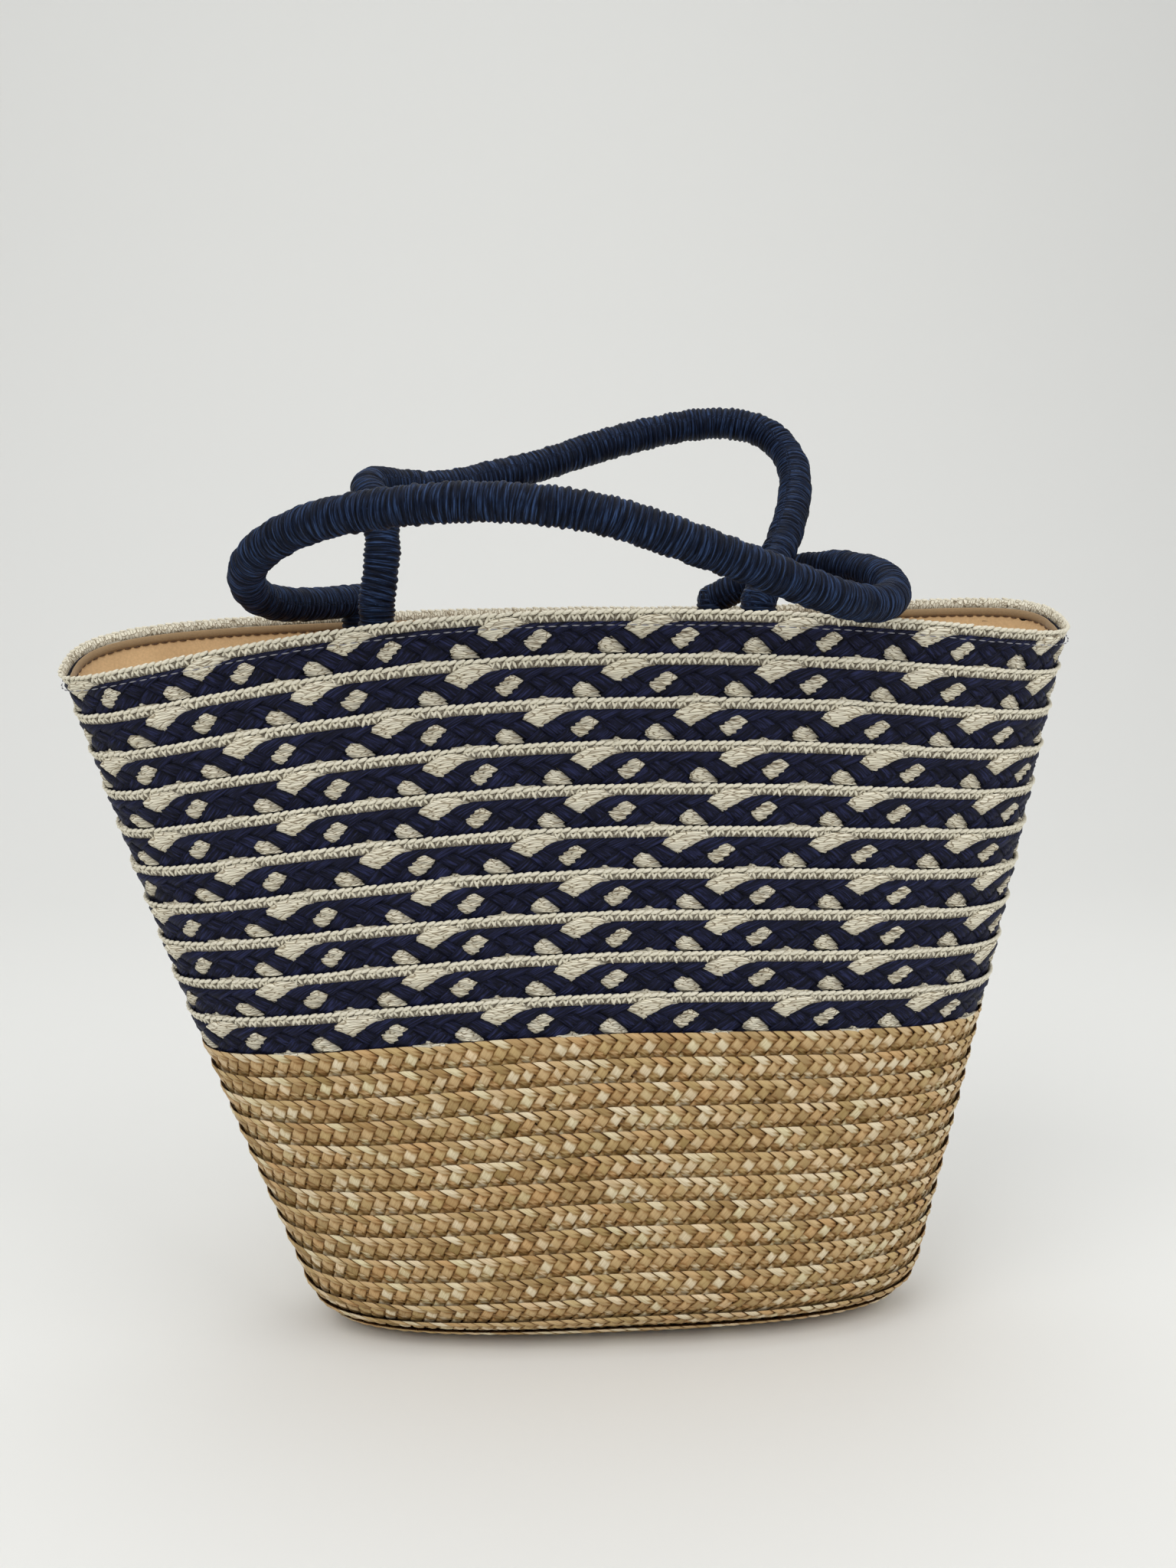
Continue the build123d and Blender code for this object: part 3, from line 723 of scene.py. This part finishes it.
def wrapped_rope(name, line, body, replaced, seed):
    """A rope with twisted paper wound round it: the turns stand out as ridges.

    Its rounded ends are centred on the line's ends, so ropes that end in one point meet in a smooth elbow.
    """
    before, after = line[0] - line[1], line[-1] - line[-2]
    line = np.vstack([line[0] + before / np.linalg.norm(before) * ROPE_RADIUS * MM, line,
                      line[-1] + after / np.linalg.norm(after) * ROPE_RADIUS * MM])
    walked = np.concatenate([[0], np.cumsum(np.linalg.norm(np.diff(line, axis=0), axis=1))])
    length = walked[-1] / MM
    pitch = bpy.context.scene.basket_sizes.wrap_pitch / MM
    bm, _ = row_of_tubes(1, int(length / pitch * 6), 24)
    share, y, z = coordinates(bm).T
    along = share * length
    turn = np.arctan2(z, y)

    def at(values):
        return np.stack([np.interp(share * walked[-1], walked, values[:, k]) for k in range(3)], axis=-1)

    uneven = (0.7 * np.sin(along / 7.3 + seed) + 0.3 * np.sin(along / 3.1 + 2 * seed + 2 * turn)
              + 0.4 * np.sin(along / 4.7 + 3 * seed - turn))
    ridge = along / pitch + turn / (2 * math.pi) + 0.35 * uneven
    height = np.abs(np.sin(math.pi * ridge)) ** 0.8
    turn_number = np.floor(ridge)
    # A number from 0 to 1 of its own for each turn of the wrap
    lumps = np.sin(turn_number * 12.9898 + seed) * 43758.5453
    lumps -= np.floor(lumps)
    radius = ROPE_RADIUS - RIDGE_HEIGHT + RIDGE_HEIGHT * height * (0.7 + 0.6 * lumps) + 0.3 * (lumps - 0.5)
    from_end = np.minimum(np.minimum(along, length - along) / ROPE_RADIUS, 1)
    radius = np.maximum(radius * np.sqrt(1 - (1 - from_end) ** 2), 0.4) * MM
    one_side, other_side = carry_frame(line)
    places = (at(line) + at(one_side) * (np.cos(turn) * radius)[:, None]
              + at(other_side) * (np.sin(turn) * radius)[:, None])
    # Painted shade in the grooves between the wrap's turns
    values = {"along": turn * ROPE_RADIUS, "across": (ridge - turn_number) * pitch,
              "tone": turn_number * 0.37, "crease": 0.95 * (1 - height) ** 1.3}
    return finish_piece(bm, places / MM, name, body, replaced, finishes()["rope"], values)


def lining_offset(down):
    """Offset, in millimetres, of the lining's inner side from the wall's middle, so far below the rim."""
    return leaning(down, PAPER_PITCH) - PLAIT_THICKNESS / 2 - LINING_THICKNESS


def wrinkles(angle, down):
    """Soft folds of the lining, in millimetres into the bag."""
    slow = np.sin(angle * 17 + down / 70) * np.sin(angle * 5.3 + 1.0)
    slanted = np.sin(angle * 29 - down / 23 + 2.0) * np.sin(down / 37 + angle * 3)
    fade = np.clip((down - 12) / 25, 0, 1) * (down < NOMINAL_RISE - 12)
    from_seam = np.clip(4 * np.abs(np.sin(angle)), 0, 1)
    return fade * (0.6 + from_seam * (2.9 + 1.8 * slow + 1.4 * slanted))


def cloth(name, columns, rows, shape, thickness, node, finish, closed=True):
    """Cloth from a grid: shape takes shares across and up, and gives places in millimetres.

    The places are those of the cloth's inner side, and its thickness comes on the outside. The sides of a
    closed cloth's grid meet, and are welded there.
    """
    bm = bmesh.new()
    bmesh.ops.create_grid(bm, x_segments=columns, y_segments=rows, size=0.5)
    across, up, _ = coordinates(bm).T + 0.5
    move_to(bm, shape(across, up))
    if closed:
        bmesh.ops.remove_doubles(bm, verts=bm.verts, dist=CLOTH_WELD * MM)
    bmesh.ops.recalc_face_normals(bm, faces=bm.faces)
    bmesh.ops.solidify(bm, geom=bm.faces[:], thickness=thickness * MM)
    return finish_piece(bm, coordinates(bm) / MM, name, "basket", [node], finishes()[finish])


def lining_panel(name, node, start):
    """Front or back panel of the lining, half of the wall's girth wide."""
    def shape(across, up):
        angle = start + SEAM_ANGLE + across * (math.pi - 2 * SEAM_ANGLE)
        down = LINING_TOP + (1 - up) * (NOMINAL_RISE - LINING_TOP)
        return wall_point(1 - down / NOMINAL_RISE, angle, lining_offset(down) - wrinkles(angle, down))

    piece = cloth(name, 150, 90, shape, LINING_THICKNESS, node, "lining", closed=False)


def lining_bottom():
    """Bottom panel of the lining, on the straw bottom."""
    def shape(around, inwards):
        long, wide, squareness = FOOT_OVAL
        x, y = oval(2 * math.pi * around, long - 0.5, wide - 0.5, squareness)
        shrink = 1 - inwards * 0.999
        return np.stack([x * shrink, y * shrink, np.full_like(x, LINING_FLOOR)], axis=-1)

    piece = cloth("lining_cloth_bottom", 96, 14, shape, LINING_THICKNESS, "lining_bottom", "lining")


def hem_band():
    """Folded hem round the mouth: a soft roll in front, with its lower part tucked behind the cloth."""
    def shape(around, up):
        angle = 2 * math.pi * around
        below = (1 - up) * HEM_DEPTH
        behind = np.clip((below - HEM_FRONT) / 0.8, 0, 1)
        roll = 0.75 + 0.5 * np.sin(math.pi * np.clip(below / 3.6, 0, 1))
        roll += 0.2 * np.sin(angle * 41) * np.sin(angle * 13 + 1)
        down = HEM_TOP + below
        return wall_point(1 - down / NOMINAL_RISE, angle,
                          lining_offset(down) - roll * (1 - behind) + 0.3 * behind)

    piece = cloth("lining_hem_band", 420, 18, shape, HEM_THICKNESS, "lining_hem", "hem")


def stitch_line(name, node, finish, down_at, outwards, pitch, stitch):
    """Running stitches round the mouth, at a distance below the rim and out from the top course's middle."""
    length, place = course_place(NOMINAL_RISE - PAPER_PITCH, PAPER_PITCH, leans=False)
    count = round(length / pitch)
    bm, index = row_of_tubes(count, 3, 6)
    share, across, lift = coordinates(bm).T
    round_off = np.sqrt(np.clip(1 - (2 * share - 1) ** 2 * 0.85, 0.05, 1))
    along = (index + share * stitch / pitch) * length / count
    down = down_at + across * THREAD_RADIUS * round_off + 0.12 * np.sin(index * 2.4)
    sink = 0.35 * (2 * share - 1) ** 2 * np.sign(outwards)
    out = leaning(down_at, PAPER_PITCH) + outwards + lift * THREAD_RADIUS * round_off - sink
    finish_piece(bm, place(along, down, out), name, "basket", [node], finishes()[finish])


# ---------------------------------------------------------------- studio


def studio_sweep():
    """Pale paper sweep: flat floor, a round bend and an upright back."""
    bm = bmesh.new()
    bmesh.ops.create_grid(bm, x_segments=1, y_segments=40, size=0.5)
    for v in bm.verts:
        share = v.co.y + 0.5
        x = v.co.x * 8
        if share < 0.5:
            v.co = (x, -2.5 + share * 7.0, 0)
        else:
            bend = min((share - 0.5) / 0.3, 1) * math.pi / 2
            rise = max(share - 0.8, 0) * 20
            v.co = (x, 1.0 + 1.2 * math.sin(bend), 1.2 * (1 - math.cos(bend)) + rise)
    bmesh.ops.recalc_face_normals(bm, faces=bm.faces)
    mesh = bpy.data.meshes.new("studio_sweep")
    bm.to_mesh(mesh)
    bm.free()
    mesh.shade_smooth()
    material, _, shader = new_material("paper_sweep", 0.9)
    shader.inputs["Base Color"].default_value = (*linear("#eaeae7"), 1)
    mesh.materials.append(material)
    sweep = bpy.data.objects.new("studio_sweep", mesh)
    bpy.context.scene.collection.objects.link(sweep)


def softbox(name, place, aim, size, power):
    """Square area lamp that points at a place."""
    lamp = bpy.data.lights.new(name, "AREA")
    lamp.shape = "SQUARE"
    lamp.size = size
    lamp.energy = power
    holder = bpy.data.objects.new(name, lamp)
    holder.location = place
    holder.rotation_euler = (Vector(aim) - Vector(place)).to_track_quat("-Z", "Y").to_euler()
    bpy.context.scene.collection.objects.link(holder)


def studio_air():
    """Even light from all round."""
    world = bpy.data.worlds.new("studio_air")
    world.use_nodes = True
    world.node_tree.nodes["Background"].inputs["Color"].default_value = (*linear("#f4f5f6"), 1)
    world.node_tree.nodes["Background"].inputs["Strength"].default_value = 0.55
    bpy.context.scene.world = world


def studio_camera():
    """Camera in front of the basket, a little above it and looking slightly down."""
    camera = bpy.data.cameras.new("camera")
    camera.lens = 32.98
    camera.sensor_width = 36
    eye = bpy.data.objects.new("camera", camera)
    eye.location = (-0.0704, -0.6841, 0.356)
    eye.rotation_euler = (math.pi / 2 - 0.1316, 0, -0.08)
    bpy.context.scene.collection.objects.link(eye)
    bpy.context.scene.camera = eye


# ---------------------------------------------------------------- add-on


class BASKET_OT_bottom(bpy.types.Operator):
    """Coil the flat straw bottom"""
    bl_idname = "basket.bottom"
    bl_label = "Straw bottom"

    def execute(self, context):
        length, place = foot_place(FOOT_OVAL[1] - CLEARANCE, CENTRE_COIL_INSET + CLEARANCE)
        straw_course("straw_coil_centre", "straw_base_centre", length, place, 90, 0.56)
        length, place = foot_place(CENTRE_COIL_INSET - CLEARANCE, CLEARANCE)
        straw_course("straw_coil_bottom", "straw_base_course", length, place, 91, 0.66)
        return {"FINISHED"}


class BASKET_OT_straw_wall(bpy.types.Operator):
    """Sew up the straw courses of the wall"""
    bl_idname = "basket.straw_wall"
    bl_label = "Straw wall"

    def execute(self, context):
        for number in range(1, STRAW_COURSES + 1):
            length, place = course_place((number - 1) * STRAW_PITCH, STRAW_PITCH)
            # The lowest course has no course under it to hang over
            depth_scale = 0.68 if number == 1 else 1.0
            straw_course(f"straw_plait_course_{number:02d}", f"straw_wall_course_{number:02d}",
                         length, place, number, depth_scale)
        return {"FINISHED"}


class BASKET_OT_paper_wall(bpy.types.Operator):
    """Sew up the navy and cream paper courses of the wall"""
    bl_idname = "basket.paper_wall"
    bl_label = "Paper wall"

    def execute(self, context):
        # Where the first cream fan of each course falls, as a share of the repeat, from the bottom course up
        fans = (0.08, 0.6, 0.4, 0.41, 0.12, 0.23, 0.3, 0.0, 0.53, 0.47)
        for number, phase in enumerate(fans, start=1):
            paper_course(number, phase)
        return {"FINISHED"}


class BASKET_OT_lining(bpy.types.Operator):
    """Sew in the cloth lining with its hem and stitch lines"""
    bl_idname = "basket.lining"
    bl_label = "Lining"

    def execute(self, context):
        lining_panel("lining_cloth_back", "lining_back", 0.0)
        lining_panel("lining_cloth_front", "lining_front", math.pi)
        lining_bottom()
        hem_band()
        stitch_line("hem_stitch_line", "hem_stitching", "brown_thread",
                    down_at=9.2, outwards=-1.9, pitch=4.5, stitch=3.3)
        stitch_line("rim_stitch_line", "rim_stitching", "pale_thread",
                    down_at=7.0, outwards=2.9, pitch=5.0, stitch=3.4)
        return {"FINISHED"}


class BASKET_OT_handles(bpy.types.Operator):
    """Wind the two rope handles and sew in their ends"""
    bl_idname = "basket.handles"
    bl_label = "Rope handles"

    def execute(self, context):
        for body, route, side in (("back_handle", BACK_HANDLE_ROUTE, 1),
                                  ("front_handle", FRONT_HANDLE_ROUTE, -1)):
            line = rope_line(body, route)
            piece = wrapped_rope(f"{body}_rope", line, body, [f"{body}_core", f"{body}_wrap"], side + 2.0)
            way = np.array([0, -side * math.sin(SEWN_END_LEAN), -math.cos(SEWN_END_LEAN)])
            for hand, end in (("left", route[0]), ("right", route[-1])):
                tail = (np.array(end) + way * np.linspace(0, SEWN_END_LENGTH, 30)[:, None]) * MM
                wrapped_rope(f"{body}_sewn_end_{hand}", tail, "basket", [f"{body}_tail_{hand}"], 5.0)
        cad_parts["handle_stitches"].data.materials.clear()
        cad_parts["handle_stitches"].data.materials.append(finishes()["pale_thread"])
        return {"FINISHED"}


class BASKET_OT_stage(bpy.types.Operator):
    """Set up the plain studio: floor, lamps and camera"""
    bl_idname = "basket.stage"
    bl_label = "Stage"

    def execute(self, context):
        context.scene.view_settings.view_transform = "Standard"
        studio_sweep()
        softbox("key_softbox", (-1.2, -1.4, 2.1), (0, 0, 0.2), 1.8, 26)
        softbox("fill_softbox", (1.5, -1.2, 1.5), (0, 0, 0.2), 1.8, 15)
        softbox("top_softbox", (0, 0.3, 2.4), (0, 0, 0.1), 1.6, 14)
        studio_air()
        studio_camera()
        return {"FINISHED"}


class BASKET_PT_panel(bpy.types.Panel):
    """Basket pieces in the sidebar"""
    bl_label = "Woven market basket"
    bl_idname = "BASKET_PT_panel"
    bl_space_type = "VIEW_3D"
    bl_region_type = "UI"
    bl_category = "Basket"

    def draw(self, context):
        for group in (context.scene.basket_sizes, context.scene.basket_colours):
            for key in group.__annotations__:
                self.layout.prop(group, key)
        for step in STEPS:
            self.layout.operator(step.bl_idname)


STEPS = (BASKET_OT_bottom, BASKET_OT_straw_wall, BASKET_OT_paper_wall, BASKET_OT_lining,
         BASKET_OT_handles, BASKET_OT_stage)
CLASSES = (BasketSizes, BasketColours, *STEPS, BASKET_PT_panel)


def register():
    for each in CLASSES:
        bpy.utils.register_class(each)
    bpy.types.Scene.basket_sizes = PointerProperty(type=BasketSizes)
    bpy.types.Scene.basket_colours = PointerProperty(type=BasketColours)


def unregister():
    del bpy.types.Scene.basket_colours
    del bpy.types.Scene.basket_sizes
    for each in reversed(CLASSES):
        bpy.utils.unregister_class(each)


def main():
    register()
    bpy.ops.basket.bottom()
    bpy.ops.basket.straw_wall()
    bpy.ops.basket.paper_wall()
    bpy.ops.basket.lining()
    bpy.ops.basket.handles()
    bpy.ops.basket.stage()


if __name__ == "__main__":
    main()
